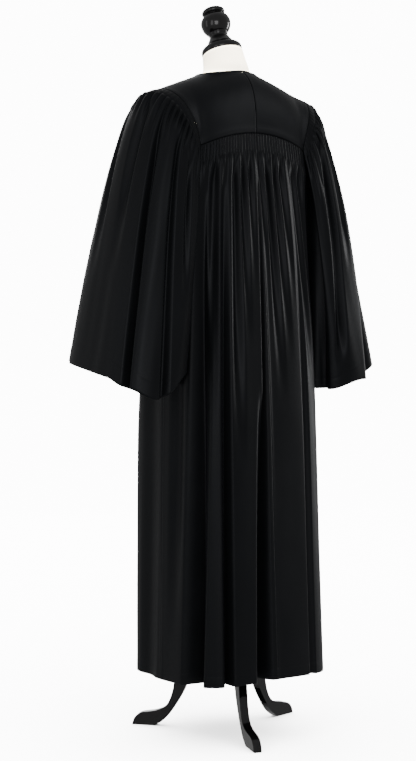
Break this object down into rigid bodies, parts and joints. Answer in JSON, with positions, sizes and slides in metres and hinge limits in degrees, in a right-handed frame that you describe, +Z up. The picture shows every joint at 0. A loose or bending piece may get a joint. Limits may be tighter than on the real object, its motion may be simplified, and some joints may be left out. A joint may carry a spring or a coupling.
{
  "type": "judge robe on a dress form",
  "caption": "Black full-length judge robe with wide bell sleeves and a yoke with pressed gathers, on a limbless dress form with a three-legged stand.",
  "frame": {"origin": "on the floor under the middle of the whole object", "axes": "+Z up, the robe's front faces -Y, the wearer's left is towards +X"},
  "size_m": [0.707, 0.3822, 1.6167],
  "materials": {
    "robe_cloth": "smooth black worsted-look cloth with a soft sheen on its folds",
    "form_cloth": "matt ivory cotton cover",
    "black_wood": "gloss black lacquer"
  },
  "bodies": {
    "root": {"yoke_left": "robe_cloth", "yoke_right": "robe_cloth", "back_left": "robe_cloth", "back_right": "robe_cloth", "front_left": "robe_cloth", "front_right": "robe_cloth", "sleeve_left": "robe_cloth", "sleeve_right": "robe_cloth", "front_placket": "robe_cloth", "neck_binding": "robe_cloth", "dress_form": "form_cloth", "base_plate": "black_wood", "pole": "black_wood", "leg_hub": "black_wood", "leg_1": "black_wood", "leg_2": "black_wood", "leg_3": "black_wood", "neck_cap": "black_wood", "finial": "black_wood"}
  },
  "joints": []
}
